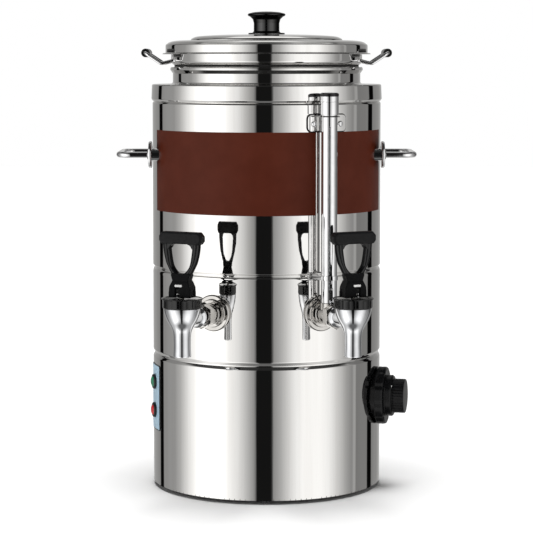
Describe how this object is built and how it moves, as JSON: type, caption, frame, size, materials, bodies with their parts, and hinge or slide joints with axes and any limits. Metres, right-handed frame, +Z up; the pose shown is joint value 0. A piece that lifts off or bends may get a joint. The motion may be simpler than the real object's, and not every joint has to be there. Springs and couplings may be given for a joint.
{
  "type": "two-tap milk and water urn",
  "caption": "Round polished steel urn with a lift-out milk pot and lid, self-closing milk and hot-water taps, a level gauge, carrying handles, lamps and a thermostat knob.",
  "frame": {"origin": "centre of the round body on the surface that the urn stands on", "axes": "+Z up along the body's axis, -Y towards the taps, +X to the right as seen from the front"},
  "size_m": [0.2996, 0.2988, 0.4779],
  "materials": {
    "polished_steel": "mirror polished stainless steel",
    "satin_steel": "plain stainless steel",
    "brown_film": "matte printed film, left blank",
    "black_plastic": "satin black moulding",
    "black_paint": "black coated steel",
    "black_grip": "black sleeve",
    "pale_blue": "pale blue plate",
    "green_lens": "clear green lens",
    "red_lens": "clear red lens",
    "rubber": "black rubber",
    "lagging": "glass wool",
    "gauge_tube": "clear tube",
    "zinc": "zinc plated",
    "brass": "machined",
    "ceramic": "white",
    "seal": "silicone"
  },
  "bodies": {
    "urn_body": {"top_collar": "polished_steel", "neck_ring": "polished_steel", "base_plate": "black_paint", "rubber_feet": "rubber", "base_screws": "zinc", "outer_jacket": "polished_steel", "base_housing": "polished_steel", "water_tank": "satin_steel", "insulation_sleeve": "lagging", "label_panel_left": "brown_film", "label_panel_right": "brown_film", "side_handle_right": "polished_steel", "side_handle_left": "polished_steel", "side_handle_rosettes": "polished_steel", "side_handle_nuts": "zinc", "tap_wall_flanges": "polished_steel", "milk_tap_shank": "polished_steel", "water_tap_shank": "polished_steel", "tap_shank_nuts": "zinc", "tap_coupling_nuts": "polished_steel", "milk_tap_body": "polished_steel", "milk_tap_bonnet": "black_plastic", "milk_tap_spring": "satin_steel", "water_tap_body": "polished_steel", "water_tap_bonnet": "black_plastic", "water_tap_spring": "satin_steel", "gauge_guard_tube": "polished_steel", "gauge_glass": "gauge_tube", "gauge_top_sleeve": "polished_steel", "gauge_cap": "black_plastic", "gauge_bracket": "polished_steel", "gauge_bracket_screws": "satin_steel", "gauge_strap": "polished_steel", "thermostat_bezel": "black_plastic", "thermostat_body": "ceramic", "thermostat_bulb": "brass", "lamp_panel": "pale_blue", "green_lamp": "green_lens", "red_lamp": "red_lens", "lamp_bezels": "black_plastic", "heating_element": "satin_steel", "heating_element_nuts": "brass", "safety_cutout": "ceramic", "terminal_block": "ceramic", "milk_receiver": "satin_steel", "mains_inlet": "black_plastic", "mains_inlet_screws": "zinc"},
    "milk_pot": {"milk_pot": "polished_steel", "spigot_seal": "seal", "pot_handle_right": "polished_steel", "pot_handle_left": "polished_steel", "pot_handle_grips": "black_grip"},
    "lid": {"lid": "polished_steel", "lid_knob_fixing": "polished_steel", "lid_knob": "black_plastic"},
    "thermostat_knob": {"thermostat_knob": "black_plastic"},
    "milk_tap_handle": {"milk_tap_handle": "black_plastic"},
    "milk_tap_plunger": {"milk_tap_plunger": "seal"},
    "water_tap_handle": {"water_tap_handle": "black_plastic"},
    "water_tap_plunger": {"water_tap_plunger": "seal"}
  },
  "joints": [
    {"name": "pot_lift", "type": "slide", "parent": "urn_body", "child": "milk_pot", "axis": [0, 0, 1], "range_m": [0, 0.24]},
    {"name": "lid_lift", "type": "slide", "parent": "milk_pot", "child": "lid", "axis": [0, 0, 1], "range_m": [0, 0.08]},
    {"name": "thermostat_turn", "type": "hinge", "parent": "urn_body", "child": "thermostat_knob", "pos_m": [0.11517, -0.02659, 0.0925], "axis": [0.9744, -0.225, 0], "range_deg": [-270, 0]},
    {"name": "milk_tap_tilt", "type": "hinge", "parent": "urn_body", "child": "milk_tap_handle", "pos_m": [-0.0813, -0.16451, 0.2084], "axis": [0.8965, -0.4431, 0], "range_deg": [0, 28], "stiffness_Nm_per_rad": 0.4, "springref_deg": -20.05},
    {"name": "milk_tap_lift", "type": "slide", "parent": "urn_body", "child": "milk_tap_plunger", "axis": [0, 0, 1], "range_m": [0, 0.0044], "stiffness_N_per_m": 15, "springref_m": -0.002, "deforming": ["milk_tap_spring"]},
    {"name": "water_tap_tilt", "type": "hinge", "parent": "urn_body", "child": "water_tap_handle", "pos_m": [0.08331, -0.1635, 0.2084], "axis": [0.891, 0.454, 0], "range_deg": [0, 28], "stiffness_Nm_per_rad": 0.4, "springref_deg": -20.05},
    {"name": "water_tap_lift", "type": "slide", "parent": "urn_body", "child": "water_tap_plunger", "axis": [0, 0, 1], "range_m": [0, 0.0044], "stiffness_N_per_m": 15, "springref_m": -0.002, "deforming": ["water_tap_spring"]}
  ],
  "couplings": [
    {"joint": "milk_tap_lift", "follows": "milk_tap_tilt", "m_per_rad": 0.0088},
    {"joint": "water_tap_lift", "follows": "water_tap_tilt", "m_per_rad": 0.0088}
  ]
}
